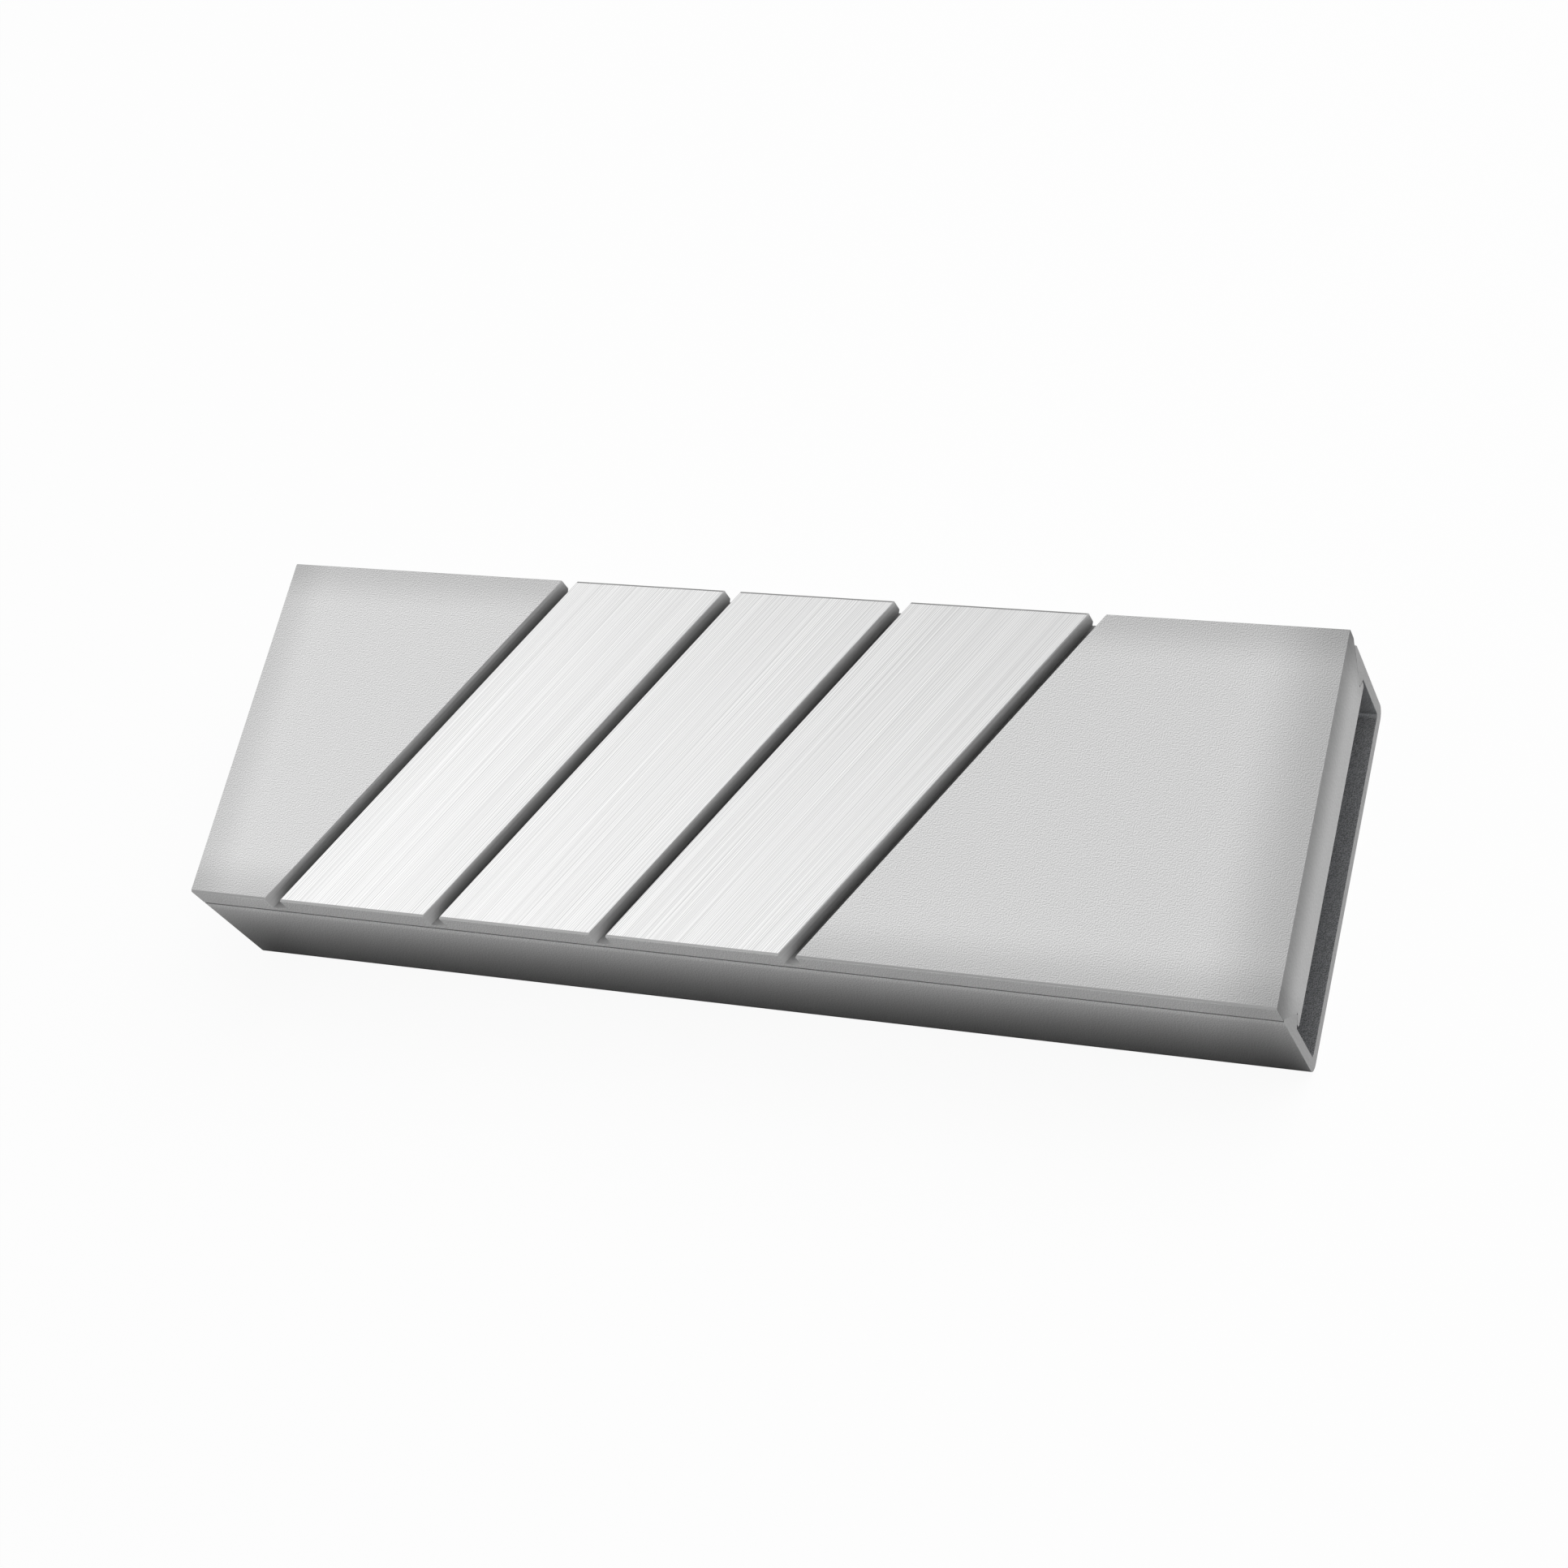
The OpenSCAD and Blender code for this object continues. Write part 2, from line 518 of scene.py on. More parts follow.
@dataclass(frozen=True)
class SatinSide(Finish):
    """Smooth anodised side as it comes from the die, with faint lines along the part.

    Painted shade darkens it from foot at the bottom to 1 at the reach, with a power, the
    curve. Painted light raises it to crown in a band below the reach, and painted shade
    lowers it to toe on the rounded bottom edge up to the heights of toe_shade_band, and to ends
    at both ends.
    """

    roughness: Pair = (0.28, 0.3)
    grain: Triple = (0.09, 0.09, 0.12)
    step: Triple = (0.4, 0.0, -0.4)
    speckle: float = 0.15
    relief: Pair = (0.008, 0.1)
    line: Triple = (25.0, 0.2, 0.2)
    line_contrast: float = 0.005
    foot_shade: float = 1.0
    reach: float = 9.0
    curve: float = 1.6
    crown_light: float = 1.0
    crown_light_band: Pair = (0.9, 0.3)
    toe_shade: float = 1.0
    toe_shade_band: Pair = (0.55, 1.15)
    ends: float = 1.0
    ends_reach: float = 6.0

    def pattern(self, r: Recipe) -> Pattern:
        """Draws faint die lines under a fine grain, and the soft shades.

        Args:
            r: recipe that takes its nodes.

        Returns:
            The pattern.
        """
        lines = r.noise(r.place, self.line, detail=2)
        grain, slope = r.stipple(r.place, self.grain, self.step)
        levels = [r.vary(lines, self.line_contrast), r.fleck(slope, self.speckle)]
        x, _, z = r.axes()
        # painted shade towards the bottom and on the bottom edge, and painted light near the top
        if self.foot_shade < 1.0:
            rise = r.calc("POWER", r.over(z, 0.0, self.reach, 0.0, 1.0, soft=False), self.curve)
            starts, full = (self.reach - down for down in self.crown_light_band)
            levels += [r.spread(rise, 0.0, 1.0, self.foot_shade, 1.0),
                       r.over(z, starts, full, 1.0, self.crown_light),
                       r.over(z, *self.toe_shade_band, self.toe_shade, 1.0)]
        # painted shade towards both ends
        if self.ends < 1.0:
            levels.append(r.to_both(x, LENGTH / 2, self.ends_reach, 1.0, self.ends))
        return Pattern(levels, lines, grain)


@dataclass(frozen=True)
class MilledGroove(Finish):
    """Walls of the slanted grooves: their grain is a cutter mark.

    Painted shade: the level rises from foot at the floor to 1 at the top, and is mouth
    at the open near end.
    """

    name: str = "milled_groove"
    colour: Triple = grey(0.8)
    roughness: Pair = (0.75, 0.85)
    grain: Triple = (0.25, 9.0, 0.12)
    speckle: float = 0.07
    relief: Pair = (0.01, 0.3)
    foot_shade: float = 0.43
    mouth: float = 0.74
    mouth_reach: float = 1.7

    def pattern(self, r: Recipe) -> Pattern:
        """Draws fine marks along the groove, and painted shade with depth, less at its near end.

        Args:
            r: recipe that takes its nodes.

        Returns:
            The pattern.
        """
        _, y, z = r.axes()
        marks = r.noise(r.across_grooves(), self.grain, detail=2)
        # painted shade with depth, evened out towards the open near end
        deep = r.over(z, HEIGHT - GROOVE_DEPTH, HEIGHT, self.foot_shade, 1.0, soft=False)
        open_end = r.over(y, -WIDTH / 2, self.mouth_reach - WIDTH / 2, 1.0, 0.0)
        dimmed = r.calc("MULTIPLY_ADD", open_end, r.calc("SUBTRACT", self.mouth, deep), deep)
        return Pattern([dimmed, r.vary(marks, self.speckle)], marks, marks)


@dataclass(frozen=True)
class SawnEnd(Finish):
    """Cut end of an extrusion, with faint upright saw lines.

    Painted shade: the level is shade at the upper edge and side at both long sides.
    """

    roughness: Pair = (0.46, 0.56)
    grain: Triple = (0.12, 0.16, 0.085)
    step: Triple = (0.0, 0.4, -0.4)
    speckle: float = 0.08
    relief: Pair = (0.01, 0.35)
    line: Triple = (0.5, 0.25, 3.0)
    line_contrast: float = 0.015
    shade: float = 1.0
    reach: float = 4.0
    side: float = 1.0
    side_reach: float = 3.0

    def pattern(self, r: Recipe) -> Pattern:
        """Draws faint saw lines under a fine grain, and the soft shades.

        Args:
            r: recipe that takes its nodes.

        Returns:
            The pattern.
        """
        lines = r.noise(r.place, self.line, detail=2)
        grain, slope = r.stipple(r.place, self.grain, self.step)
        levels = [r.vary(lines, self.line_contrast), r.fleck(slope, self.speckle)]
        _, y, z = r.axes()
        # painted shade along the upper edge and both long sides
        if self.shade < 1.0:
            levels.append(r.over(z, HEIGHT - self.reach, HEIGHT, 1.0, self.shade))
        if self.side < 1.0:
            levels.append(r.to_both(y, WIDTH / 2, self.side_reach, 1.0, self.side))
        return Pattern(levels, lines, grain)


@dataclass(frozen=True)
class DullMetal(Finish):
    """Plain narrow faces, such as chamfers and the lips of the seam.

    The level is middle away from both long sides, a painted shade.
    """

    roughness: Pair = (0.45, 0.55)
    step: Triple = (0.3, -0.4, -0.35)
    speckle: float = 0.05
    relief: Pair = (0.015, 0.5)
    middle: float = 1.0
    side_reach: float = 1.1

    def pattern(self, r: Recipe) -> Pattern:
        """Draws a fine grain, with painted shade in the middle if asked.

        Args:
            r: recipe that takes its nodes.

        Returns:
            The pattern.
        """
        grain, slope = r.stipple(r.place, self.grain, self.step)
        levels = [r.fleck(slope, self.speckle)]
        # painted shade away from both long sides
        if self.middle < 1.0:
            _, y, _ = r.axes()
            levels.append(r.to_both(y, WIDTH / 2, self.side_reach, self.middle, 1.0))
        return Pattern(levels, grain, grain)


@dataclass(frozen=True)
class SiliconePad(Finish):
    """Soft blue-grey silicone gel with a fine filler grain."""

    name: str = "silicone_pad"
    colour: Triple = (0.16, 0.18, 0.22)
    metallic: float = 0.0
    roughness: Pair = (0.55, 0.7)
    grain: Triple = (0.14, 0.14, 0.14)
    speckle: float = 0.12
    relief: Pair = (0.03, 0.4)
    cloud: Triple = (2.5, 2.5, 2.5)
    cloud_contrast: float = 0.06

    def pattern(self, r: Recipe) -> Pattern:
        """Draws a matte gel, cloudy and finely speckled.

        Args:
            r: recipe that takes its nodes.

        Returns:
            The pattern.
        """
        clouds = r.noise(r.place, self.cloud, detail=3, roughness=0.55)
        grain = r.noise(r.place, self.grain, detail=1)
        levels = [r.vary(clouds, self.cloud_contrast), r.vary(grain, self.speckle)]
        return Pattern(levels, clouds, grain)


# The pieces


class Side(IntEnum):
    """The two long sides: the near one has a thin seam, the far one a prying notch."""

    NEAR = -1
    FAR = 1


@dataclass(frozen=True)
class Joint:
    """Sizes of the hooked joint. A joint point is [in from the outer face, down from the top].

    The top's flank leads from its mouth in to the hook root, and its ledge from there
    back out to the flange. The tray's wall follows both at fit_gap, which is shown
    nearly closed, and ends its hook in a flat tip.
    """

    top_t: float = 5.55
    wall_t: float = 0.8
    fit_gap: float = 0.004
    flange_inset: float = 1.02
    flange_break: float = 0.12
    hook_tip: float = 1.5
    hook_root: Pair = (1.6, 4.69)
    ledge_end: Pair = (1.02, 5.03)
    near_mouth: Pair = (0.15, 1.95)
    far_mouth: Pair = (0.27, 1.65)

    def mouth(self, side: Side) -> Pair:
        """Point where the top's flank begins, under its upright side."""
        return self.near_mouth if side is Side.NEAR else self.far_mouth

    def down_at(self, inward: float, a: Pair, b: Pair) -> float:
        """How far down the line from a to b is at an inward place."""
        return a[1] + (b[1] - a[1]) * (inward - a[0]) / (b[0] - a[0])

    def inward_at(self, down: float, a: Pair, b: Pair) -> float:
        """How far in the line from a to b is at a depth."""
        return a[0] + (b[0] - a[0]) * (down - a[1]) / (b[1] - a[1])

    def flank(self, side: Side, inward: float) -> float:
        """Depth of the tray's flank, which is the top's flank moved out by the gap."""
        return self.down_at(inward + self.fit_gap, self.mouth(side), self.hook_root)

    def under_hook(self, inward: float) -> float:
        """Depth of the hook's underside, which is the top's ledge raised by the gap."""
        return self.down_at(inward, self.hook_root, self.ledge_end) - self.fit_gap

    def placed(self, points: Sequence[Pair], side: Side) -> np.ndarray:
        """Section points of joint points: y = side * (half width - in), z = height - down."""
        p = np.asarray(points, float)
        return np.stack([side * (WIDTH / 2 - p[:, 0]), HEIGHT - p[:, 1]], axis=-1)


class TopZone(IntEnum):
    """Finishes of the grooved top, in the order of its material slots."""

    PLATE = 0
    STRIP = 1
    SIDE = 2
    GROOVE = 3
    END = 4
    UNDER = 5
    FAR_RIM = 6
    SEAM = 7
    NEAR_RIM = 8
    GROOVE_FLOOR = 9
    PLATE_RIM = 10


@dataclass(frozen=True)
class TopOutline:
    """Section of the top, from its near underside over the top face to its far underside.

    The numbers first_up and last_up are of its near and far point at the level of the
    groove floors, and its top face goes from near_top over band_start to far_top.
    """

    points: np.ndarray
    first_up: int
    last_up: int
    near_top: int
    band_start: int
    far_top: int


@dataclass
class GroovedTop:
    """The top: two blasted plates, three brushed strips and four slanted grooves in one piece.

    The breaks are the chamfers of the upper edges, with a narrow band beside the far
    one, and the skirts are the heights of the upright sides. Grooves are placed by
    their X at mid width, and mouth_point is the near mouth's number in the outline.
    """

    joint: Joint = Joint()
    near_break: float = 0.12
    far_break: float = 0.05
    far_band: float = 0.07
    near_skirt: float = 1.85
    far_skirt: float = 1.15
    groove_w: float = 1.0
    groove_middles: tuple[float, ...] = (-23.3, -11.38, 0.54, 13.57)
    edge_width: float = 0.03
    rim_width: float = 0.07
    mouth_point: int = 4

    def upper_side(self, side: Side) -> list[Pair]:
        """Upper part of one side of the outline.

        Args:
            side: the side.

        Returns:
            Joint points from the groove floors' level up to the top face.
        """
        is_near, mouth = side is Side.NEAR, self.joint.mouth(side)
        skirt = self.near_skirt if is_near else self.far_skirt
        broken = self.near_break if is_near else self.far_break
        points = [] if is_near else [(broken + self.far_band, 0)]
        points += [(broken, 0), (0, broken)]
        if skirt < GROOVE_DEPTH:
            inward = self.joint.inward_at(GROOVE_DEPTH, (0, skirt), mouth)
            points += [(0, skirt), (inward, GROOVE_DEPTH)]
        else:
            points.append((0, GROOVE_DEPTH))
        return points[::-1]

    def lower_side(self, side: Side) -> list[Pair]:
        """Lower part of one side of the outline.

        Args:
            side: the side.

        Returns:
            Joint points from the underside up to just below the groove floors' level.
        """
        j = self.joint
        points = [(j.flange_inset + j.flange_break, j.top_t),
                  (j.flange_inset, j.top_t - j.flange_break),
                  j.ledge_end, j.hook_root, j.mouth(side)]
        return points + ([(0, self.near_skirt)] if side is Side.NEAR else [])

    def outline(self) -> TopOutline:
        """Joins the parts of both sides to the outline.

        Returns:
            The outline.
        """
        near_low = self.joint.placed(self.lower_side(Side.NEAR), Side.NEAR)
        near_up = self.joint.placed(self.upper_side(Side.NEAR), Side.NEAR)
        far_up = self.joint.placed(self.upper_side(Side.FAR), Side.FAR)[::-1]
        far_low = self.joint.placed(self.lower_side(Side.FAR), Side.FAR)[::-1]
        points = np.concatenate([near_low, near_up, far_up, far_low])
        first_up = len(near_low)
        last_up = first_up + len(near_up) + len(far_up) - 1
        on_top = np.flatnonzero(np.isclose(points[:, 1], HEIGHT))
        return TopOutline(points, first_up, last_up, *on_top)

    def stations(self) -> tuple[np.ndarray, np.ndarray]:
        """Places of the two ends and of the eight groove walls.

        A groove wall stands at x = middle ± width / (2 cos angle) + y tan angle.

        Returns:
            X at mid width, and growth of X with Y.
        """
        angle = math.radians(GROOVE_DEG)
        half = self.groove_w / 2 / math.cos(angle)
        walls = (np.asarray(self.groove_middles)[:, None] + np.array([-half, half])).ravel()
        offsets = np.concatenate([[-LENGTH / 2], walls, [LENGTH / 2]])
        slants = np.concatenate([[0], np.full(len(walls), math.tan(angle)), [0]])
        return offsets, slants

    def land(self, outline: TopOutline, a: int, b: int, is_plate: bool) -> Faces:
        """Band round a plate or strip; a face runs from its point to the one before.

        Args:
            outline: the top's outline.
            a: first point of the station at its lower X.
            b: first point of the station at its higher X.
            is_plate: a plate, and not a strip.

        Returns:
            Its faces and their finishes.
        """
        loop = np.arange(len(outline.points))[::-1]
        far_faces = (outline.far_top, outline.far_top + 1)
        zones = np.full(len(loop), TopZone.SIDE)
        zones[loop == outline.band_start] = TopZone.PLATE if is_plate else TopZone.STRIP
        zones[np.isin(loop, far_faces)] = TopZone.PLATE if is_plate else TopZone.FAR_RIM
        zones[loop == outline.near_top] = TopZone.PLATE_RIM if is_plate else TopZone.NEAR_RIM
        zones[loop == self.mouth_point + 1] = TopZone.SEAM
        zones[loop == 0] = TopZone.UNDER
        return band(a, b, loop).tolist(), zones.tolist()

    def groove(self, outline: TopOutline, a: int, b: int) -> Faces:
        """Band round what a groove leaves below its floor, and the groove's two walls.

        Args:
            outline: the top's outline.
            a: first point of the station at its lower X.
            b: first point of the station at its higher X.

        Returns:
            Its faces and their finishes.
        """
        below = np.concatenate([np.arange(outline.last_up, len(outline.points)),
                                np.arange(outline.first_up + 1)])[::-1]
        zones = np.full(len(below), TopZone.SIDE)
        zones[below == outline.last_up] = TopZone.GROOVE_FLOOR
        zones[below == 0] = TopZone.UNDER
        zones[below == self.mouth_point + 1] = TopZone.SEAM
        wall = np.arange(outline.first_up, outline.last_up + 1)
        walls = [(a + wall[::-1]).tolist(), (b + wall).tolist()]
        return band(a, b, below).tolist() + walls, zones.tolist() + [TopZone.GROOVE] * 2

    def build(self, finishes: Sequence[Material]) -> Piece:
        """Builds the top.

        Args:
            finishes: materials in the order of TopZone.

        Returns:
            The piece, with its edges broken.
        """
        outline = self.outline()
        offsets, slants = self.stations()
        n, last = len(outline.points), len(offsets) - 1
        faces, zones = [], []
        for k in range(last):
            a, b = k * n, (k + 1) * n
            is_groove, is_plate = k % 2 == 1, k in (0, last - 1)
            new_faces, new_zones = (self.groove(outline, a, b) if is_groove
                                    else self.land(outline, a, b, is_plate))
            faces += new_faces
            zones += new_zones
        faces += [np.arange(n).tolist(), (last * n + np.arange(n)[::-1]).tolist()]
        zones += [TopZone.END] * 2
        points = carried_section(outline.points, offsets, slants)
        piece = solid_piece("grooved_top", points, faces, zones, finishes)
        self.map_brushing(piece)
        self.finish_edges(piece, outline, len(offsets))
        return piece

    def finish_edges(self, piece: Piece, outline: TopOutline, stations: int) -> None:
        """Breaks the edges, apart from the joint's own and those at the floors' level.

        Args:
            piece: the top.
            outline: its outline.
            stations: number of its stations.
        """
        n = len(outline.points)
        near_joint = range(1, self.mouth_point + 2)
        far_joint = range(n - self.mouth_point - 1, n - 1)
        held = [*near_joint, *far_joint, outline.first_up, outline.last_up]
        on_top = [outline.near_top, outline.band_start, outline.far_top]
        crisp = np.tile(np.isin(np.arange(n), held), stations)
        at_top = np.tile(np.isin(np.arange(n), on_top), stations)
        on_strip = np.repeat(np.isin(np.arange(stations), range(2, stations - 2)), n)
        break_edges(piece, self.edge_width, crisp, at_top & on_strip, self.rim_width)

    def map_brushing(self, piece: Piece) -> None:
        """Lays a map whose U runs across the brushing.

        The formula is u = x cos a - y sin a and v = x sin a + y cos a.

        Args:
            piece: the top.
        """
        mesh = piece.data
        a = math.radians(GROOVE_DEG)
        place = np.zeros(len(mesh.vertices) * 3)
        mesh.vertices.foreach_get("co", place)
        x, y, _ = place.reshape(-1, 3).T
        corner = np.zeros(len(mesh.loops), np.int32)
        mesh.loops.foreach_get("vertex_index", corner)
        u = x * math.cos(a) - y * math.sin(a)
        v = x * math.sin(a) + y * math.cos(a)
        in_decimetres = np.stack([u, v], axis=-1)[corner] * 10
        layer = mesh.uv_layers.new(name=BRUSHING_MAP)
        layer.data.foreach_set("uv", in_decimetres.ravel())


class TrayZone(IntEnum):
    """Finishes of the tray, in the order of its material slots."""

    WALL = 0
    INSIDE = 1
    END = 2
    LIP = 3
    FLOOR = 4
    BASE = 5


@dataclass(frozen=True)
class Lip:
    """Top of one tray wall: its depth below the top face, its bevel and its gap to the flank."""

    down: float
    bevel_w: float
    bevel_h: float
    gap: float


@dataclass
class HookedTray:
    """The tray: a floor and two walls that end in inward hooks."""

    joint: Joint = Joint()
    floor_t: float = 0.9
    outer_r: float = 0.8
    outer_steps: int = 12
    inner_r: float = 0.25
    inner_steps: int = 6
    near_lip: Lip = Lip(down=1.97, bevel_w=0.04, bevel_h=0.08, gap=0.004)
    far_lip: Lip = Lip(down=1.75, bevel_w=0.16, bevel_h=0.45, gap=0.06)
    edge_width: float = 0.03

    def outside(self, side: Side) -> np.ndarray:
        """Outer skin of one wall.

        Args:
            side: the wall's side.

        Returns:
            Section points from its bottom edge up to the inner rim of its lip.
        """
        j = self.joint
        lip = self.near_lip if side is Side.NEAR else self.far_lip
        arc = corner_arc((self.outer_r, HEIGHT - self.outer_r), self.outer_r, self.outer_steps)
        rim = j.inward_at(lip.down, j.mouth(side), j.hook_root) - lip.gap
        top = [(0, lip.down + lip.bevel_h), (lip.bevel_w, lip.down), (rim, lip.down)]
        return j.placed(np.concatenate([arc, top]), side)

    def inside(self, side: Side) -> np.ndarray:
        """Inner skin of one wall.

        Args:
            side: the wall's side.

        Returns:
            Section points from its hook's tip down to the floor.
        """
        j = self.joint
        tip = j.hook_tip
        bend = (j.wall_t + self.inner_r, HEIGHT - self.floor_t - self.inner_r)
        arc = corner_arc(bend, self.inner_r, self.inner_steps)[::-1]
        hook = [(tip, j.flank(side, tip)), (tip, j.under_hook(tip)),
                (j.wall_t, j.under_hook(j.wall_t))]
        return j.placed(np.concatenate([hook, arc]), side)

    def build(self, finishes: Sequence[Material]) -> Piece:
        """Builds the tray; a face of the band runs from its point to the one before.

        Args:
            finishes: materials in the order of TrayZone.

        Returns:
            The piece, with its edges broken.
        """
        near_out, near_in = self.outside(Side.NEAR), self.inside(Side.NEAR)
        far_out, far_in = self.outside(Side.FAR), self.inside(Side.FAR)
        section = np.concatenate([near_out, near_in, far_in[::-1], far_out[::-1]])
        n, rim = len(section), len(near_out) - 1
        loop = np.arange(n)[::-1]
        zones = np.full(n, TrayZone.WALL)
        zones[(loop > rim + 1) & (loop < n - rim)] = TrayZone.INSIDE
        zones[np.isin(loop, (rim - 1, rim))] = TrayZone.LIP
        zones[loop == len(near_out) + len(near_in)] = TrayZone.FLOOR
        zones[loop == 0] = TrayZone.BASE
        faces = band(0, n, loop).tolist() + [loop[::-1].tolist(), (n + loop).tolist()]
        ends = np.array([-LENGTH / 2, LENGTH / 2])
        points = carried_section(section, ends, np.zeros(2))
        piece = solid_piece("hooked_tray", points, faces,
                            [*zones, TrayZone.END, TrayZone.END], finishes)
        near_joint = range(rim - 2, rim + 3)
        far_joint = range(n - rim - 3, n - rim + 1)
        crisp = np.isin(np.arange(n), [*near_joint, *far_joint])
        break_edges(piece, self.edge_width, np.tile(crisp, 2))
        return piece


@dataclass
class ThermalPad:
    """A soft silicone slab that sticks to one of the metal faces.

    It lies between the heights low and high. Its soft corners begin at the share flat
    of each grid line. Its waves along X are given by their turn per mm, their sway, and
    the sway's turn per mm of Y, and those across it by the same the other way round.
    """

    name: str
    low: float
    high: float
    stuck_below: bool
    length: float = 69.0
    width: float = 20.0
    corner: float = 0.18
    flat: float = 0.9
    wave: float = 0.035
    along: Triple = (0.45, 0.7, 0.31)
    across: Triple = (0.62, 0.5, 0.21)
    columns: int = 140
    rows: int = 40

    def build(self, finish: Material) -> Piece:
        """Builds the pad from two grids, its stuck face and its free face, joined at the rim.

        Args:
            finish: material of the pad.

        Returns:
            The piece.
        """
        u = np.linspace(-1, 1, self.columns + 1)
        v = np.linspace(-1, 1, self.rows + 1)
        x, y, drop = self.skin(*np.meshgrid(u, v, indexing="ij"))
        row = self.rows + 1
        count = (self.columns + 1) * row
        first = np.arange(count).reshape(-1, row)[:-1, :-1].ravel()
        quads = np.stack([first, first + row, first + row + 1, first + 1], axis=-1)
        points, faces = [], []
        for k, sunk in enumerate((drop, drop + self.ripple(x, y))):
            is_upper = bool(k) == self.stuck_below
            z = self.high - sunk if is_upper else self.low + sunk
            points.append(np.stack([x, y, z], axis=-1).reshape(-1, 3))
            faces.append(k * count + (quads if is_upper else quads[:, ::-1]))
        faces.append(self.rim_faces(count, upper_first=not self.stuck_below))
        faces = np.concatenate(faces)
        piece = solid_piece(self.name, np.concatenate(points), faces, [0] * len(faces), [finish])
        piece.data.shade_smooth()
        return piece

    def skin(self, u: np.ndarray, v: np.ndarray) -> tuple[np.ndarray, np.ndarray, np.ndarray]:
        """Plan and edge drop of one face.

        The outer part of each grid line is bent: with s the angle past the flat, the
        plan goes out by corner * sin s, and corner * cos s is left of the edge. The
        face drops by corner minus the root of the product of what both lines leave.

        Args:
            u: grid lines along the length, from -1 to 1.
            v: grid lines across the width, from -1 to 1.

        Returns:
            X, Y and the drop, in millimetres.
        """
        plans, left = [], []
        for t, half in ((u, self.length / 2), (v, self.width / 2)):
            past = np.clip((np.abs(t) - self.flat) / (1 - self.flat), 0, 1) * math.pi / 2
            inner = np.minimum(np.abs(t) / self.flat, 1) * (half - self.corner)
            plans.append(np.sign(t) * (inner + self.corner * np.sin(past)))
            left.append(self.corner * np.cos(past))
        drop = self.corner - np.sqrt(np.maximum(left[0] * left[1], 0))
        return plans[0], plans[1], drop

    def ripple(self, x: np.ndarray, y: np.ndarray) -> np.ndarray:
        """Slight waves pressed into the free face: wave * (1 + sin along * sin across) / 2.

        Args:
            x: X of each point.
            y: Y of each point.

        Returns:
            How deep each point is pressed in.
        """
        turn, sway, bend = self.along
        along = np.sin(x * turn + sway * np.sin(y * bend))
        turn, sway, bend = self.across
        across = np.sin(y * turn + sway * np.sin(x * bend))
        return self.wave * (1 + along * across) / 2

    def rim_faces(self, count: int, upper_first: bool) -> np.ndarray:
        """Quads that join the rims of the two faces.

        Args:
            count: number of points in one face.
            upper_first: the first face is the upper one.

        Returns:
            Faces of shape (k, 4).
        """
        c, r = self.columns, self.rows + 1
        rim = np.concatenate([np.arange(0, c) * r, c * r + np.arange(0, r - 1),
                              np.arange(c, 0, -1) * r + r - 1, np.arange(r - 1, 0, -1)])
        after = np.roll(rim, -1)
        quads = np.stack([rim, after, after + count, rim + count], axis=-1)
        return quads[:, ::-1] if upper_first else quads


# The studio


@dataclass(frozen=True)
class Lamp:
    """A square lamp that looks at the part from a direction, the way.

    Its level is the brightness of its face, where 1 is white, and in_metal tells whether
    the metal shows it, because the dome is white there already.
    """

    name: str
    way: Triple
    distance: float
    size: float
    level: float
    in_metal: bool

    def hang(self) -> None:
        """Hangs the lamp, with a power of pi * area * brightness."""
        light = bpy.data.lights.new(self.name, "AREA")
        light.shape = "SQUARE"
        light.size = self.size * MM
        light.energy = math.pi * light.size ** 2 * self.level
        lamp = bpy.data.objects.new(self.name, light)
        bpy.context.scene.collection.objects.link(lamp)
        to_lamp = Vector(self.way).normalized()
        lamp.location = to_lamp * self.distance * MM
        lamp.rotation_mode = "QUATERNION"
        lamp.rotation_quaternion = to_lamp.to_track_quat("Z", "Y")
        lamp.visible_glossy = self.in_metal
        lamp.visible_camera = False


@dataclass(frozen=True)
class Viewpoint:
    """The viewing angle: the camera's place, and its right, up and backward directions."""

    place: Triple = (85.19643764, -75.90109924, 187.65830771)
    right: Triple = (0.91592754, 0.23268071, -0.32701137)
    up: Triple = (-0.07947152, 0.9038057, 0.42049914)
    back: Triple = (0.39339678, -0.35915865, 0.84631202)
    lens: float = 76.2215
    sensor: float = 36.0
    nearest: float = 5.0
    farthest: float = 10000.0

    def set_camera(self) -> None:
        """Sets the scene's camera there."""
        data = bpy.data.cameras.new("camera")
        data.sensor_width = self.sensor
        data.lens = self.lens
        data.clip_start, data.clip_end = self.nearest * MM, self.farthest * MM
        camera = bpy.data.objects.new("camera", data)
        bpy.context.scene.collection.objects.link(camera)
        turn = Matrix((self.right, self.up, self.back)).transposed().to_4x4()
        camera.matrix_world = Matrix.Translation(Vector(self.place) * MM) @ turn
        bpy.context.scene.camera = camera


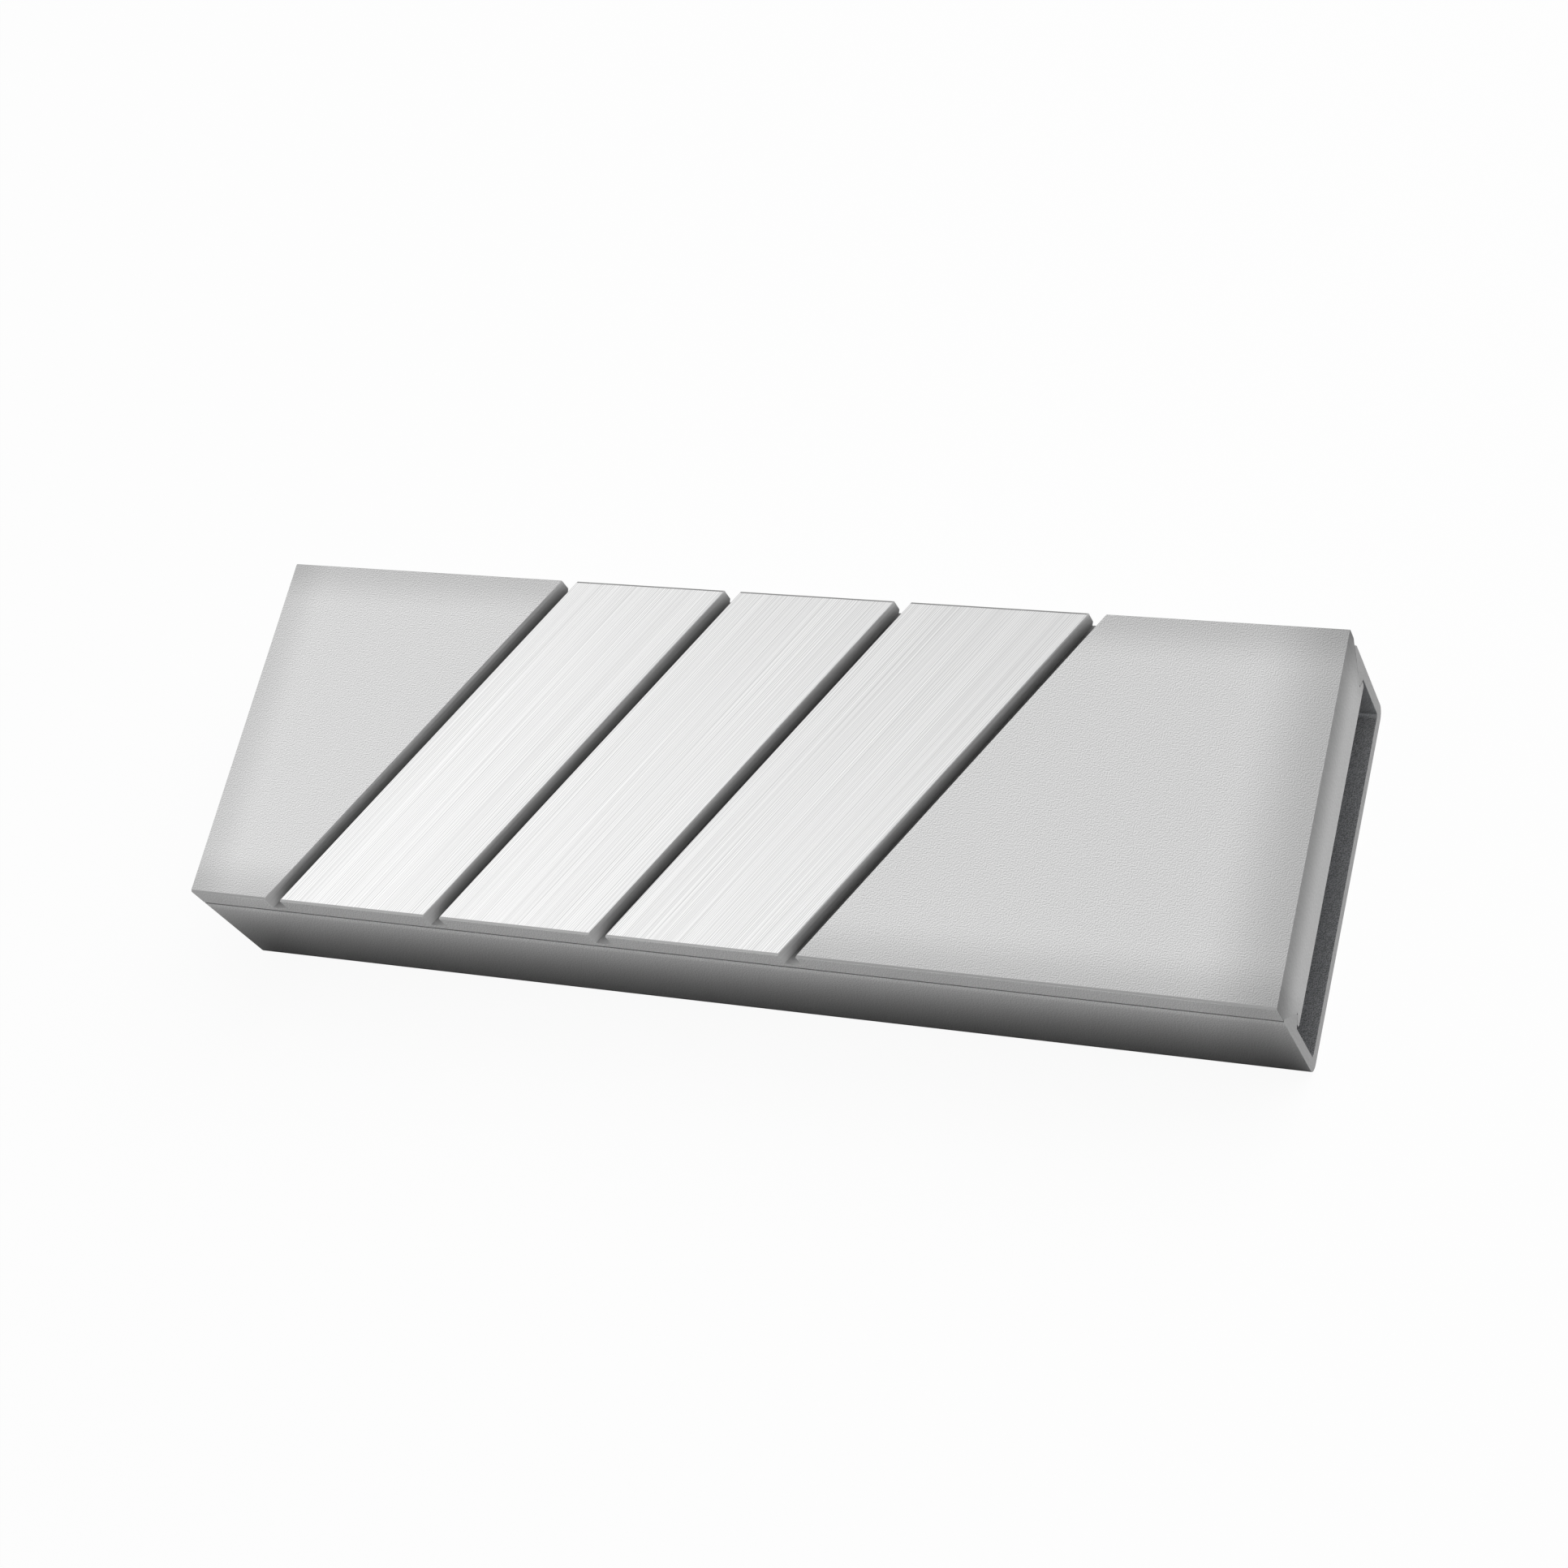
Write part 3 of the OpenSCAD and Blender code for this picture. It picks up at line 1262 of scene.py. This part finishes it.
@dataclass
class Studio:
    """Pale floor, soft dome, a softbox for floor and pads, a weak panel for metal, and the camera.

    The floor lies floor_drop below the part, and shadow_share is how much of its light
    and shadow shows on the white.
    """

    floor_size: float = 3000.0
    floor_drop: float = 0.02
    floor_colour: Triple = grey(0.94)
    shadow_share: float = 0.06
    dome_level: float = 0.1
    lamps: tuple[Lamp, ...] = (
        Lamp("softbox", (0.42, 0.48, 0.8), 900.0, 850.0, 3.7, in_metal=False),
        Lamp("side_panel", (-0.68, 0.12, 0.72), 700.0, 560.0, 0.35, in_metal=True),
    )
    view: Viewpoint = Viewpoint()

    def build(self) -> None:
        """Builds the floor, the lights and the camera."""
        self.lay_floor()
        self.light_dome()
        for lamp in self.lamps:
            lamp.hang()
        self.view.set_camera()
        bpy.context.scene.view_settings.view_transform = "Standard"

    def lay_floor(self) -> None:
        """Lays a pale floor that shows white with a faint shadow."""
        half, z = self.floor_size / 2, -self.floor_drop
        corners = [(-half, -half, z), (half, -half, z), (half, half, z), (-half, half, z)]
        mesh = bpy.data.meshes.new("pale_floor")
        mesh.from_pydata(metres(corners).tolist(), [], [[0, 1, 2, 3]])
        floor = bpy.data.objects.new("pale_floor", mesh)
        bpy.context.scene.collection.objects.link(floor)
        material = bpy.data.materials.new("pale_floor")
        material.use_nodes = True
        material.node_tree.nodes.clear()
        tree = Nodes(material.node_tree)
        paint = tree.add("ShaderNodeBsdfDiffuse", {"Color": (*self.floor_colour, 1)})
        white = tree.add("ShaderNodeEmission", {"Color": (1, 1, 1, 1), "Strength": 1.0})
        rays = tree.add("ShaderNodeLightPath")
        seen = tree.calc("MULTIPLY", rays.outputs["Is Camera Ray"], 1 - self.shadow_share)
        mix = tree.add("ShaderNodeMixShader", {
            "Fac": seen, 1: paint.outputs["BSDF"], 2: white.outputs["Emission"]})
        tree.add("ShaderNodeOutputMaterial", {"Surface": mix.outputs["Shader"]})
        mesh.materials.append(material)

    def light_dome(self) -> None:
        """Lights the scene evenly, and shows white to the eye and in the metal."""
        world = bpy.data.worlds.new("soft_dome")
        bpy.context.scene.world = world
        world.use_nodes = True
        world.node_tree.nodes.clear()
        tree = Nodes(world.node_tree)
        rays = tree.add("ShaderNodeLightPath").outputs
        seen = tree.calc("MAXIMUM", rays["Is Camera Ray"], rays["Is Glossy Ray"])
        seen = tree.calc("MAXIMUM", seen, rays["Is Transmission Ray"])
        level = tree.spread(seen, 0, 1, self.dome_level, 1)
        sky = tree.add("ShaderNodeBackground", {"Color": (1, 1, 1, 1), "Strength": level})
        tree.add("ShaderNodeOutputWorld", {"Surface": sky.outputs["Background"]})


# The heat sink


def main() -> None:
    """Builds the heat sink piece by piece and sets each on its body."""
    logging.basicConfig(level=logging.INFO, format="%(name)s: %(message)s")
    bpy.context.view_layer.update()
    Studio().build()

    top_finishes = [
        BlastedPlate().make(),
        BrushedStrip().make(),
        # painted shade towards both ends of the top's sides
        SatinSide("satin_top_side", grey(0.72), ends=0.66).make(),
        MilledGroove().make(),
        # painted shade along the end's upper edge and long sides
        SawnEnd("sawn_top_end", grey(0.55), shade=0.55, side=0.66).make(),
        SatinSide("satin_top_underside", grey(0.45)).make(),
        # painted shade: the dark greys of the rims and of the seam's gap, and the groove floor's
        # darker middle
        DullMetal("far_rim", grey(0.27)).make(),
        DullMetal("seam_painted_shade", grey(0.1)).make(),
        DullMetal("near_rim", grey(0.44)).make(),
        DullMetal("groove_floor", grey(0.43), middle=0.38).make(),
        DullMetal("plate_rim", grey(0.35)).make(),
    ]
    tray_finishes = [
        # painted shade towards the wall's bottom, its bottom edge and both ends, and painted light
        # near its top
        SatinSide("satin_tray_wall", grey(0.74), foot_shade=0.28, crown_light=1.16, toe_shade=0.5,
                  ends=0.64).make(),
        SatinSide("satin_tray_inside", (0.45, 0.455, 0.465), roughness=(0.45, 0.55)).make(),
        SawnEnd("sawn_tray_end", grey(0.4)).make(),
        # painted shade on the lip beside the seam's gap
        DullMetal("lip_painted_shade", grey(0.16)).make(),
        # blasted grain; its dark grey is partly painted shade inside the tray
        DullMetal("blasted_tray_floor", (0.285, 0.289, 0.296), speckle=0.34,
                  grain=(0.07, 0.07, 0.07), roughness=(0.6, 0.7)).make(),
        SatinSide("satin_tray_base", grey(0.5)).make(),
    ]
    pad_finish = SiliconePad().make()

    top = GroovedTop().build(top_finishes)
    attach(top, "top")
    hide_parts("top_heatsink")
    log.info("grooved top: %d faces before its edges are broken", len(top.data.polygons))

    tray = HookedTray().build(tray_finishes)
    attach(tray, "tray")
    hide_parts("bottom_tray")
    log.info("hooked tray: %d faces before its edges are broken", len(tray.data.polygons))

    lower_pad = ThermalPad("lower_pad", low=0.9, high=1.9, stuck_below=True).build(pad_finish)
    upper_pad = ThermalPad("upper_pad", low=4.0, high=5.5, stuck_below=False).build(pad_finish)
    for pad, body, node in ((lower_pad, "tray", "lower_thermal_pad"),
                            (upper_pad, "top", "upper_thermal_pad")):
        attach(pad, body)
        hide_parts(node)
        log.info("%s: %d faces", pad.name, len(pad.data.polygons))


if __name__ == "__main__":
    main()
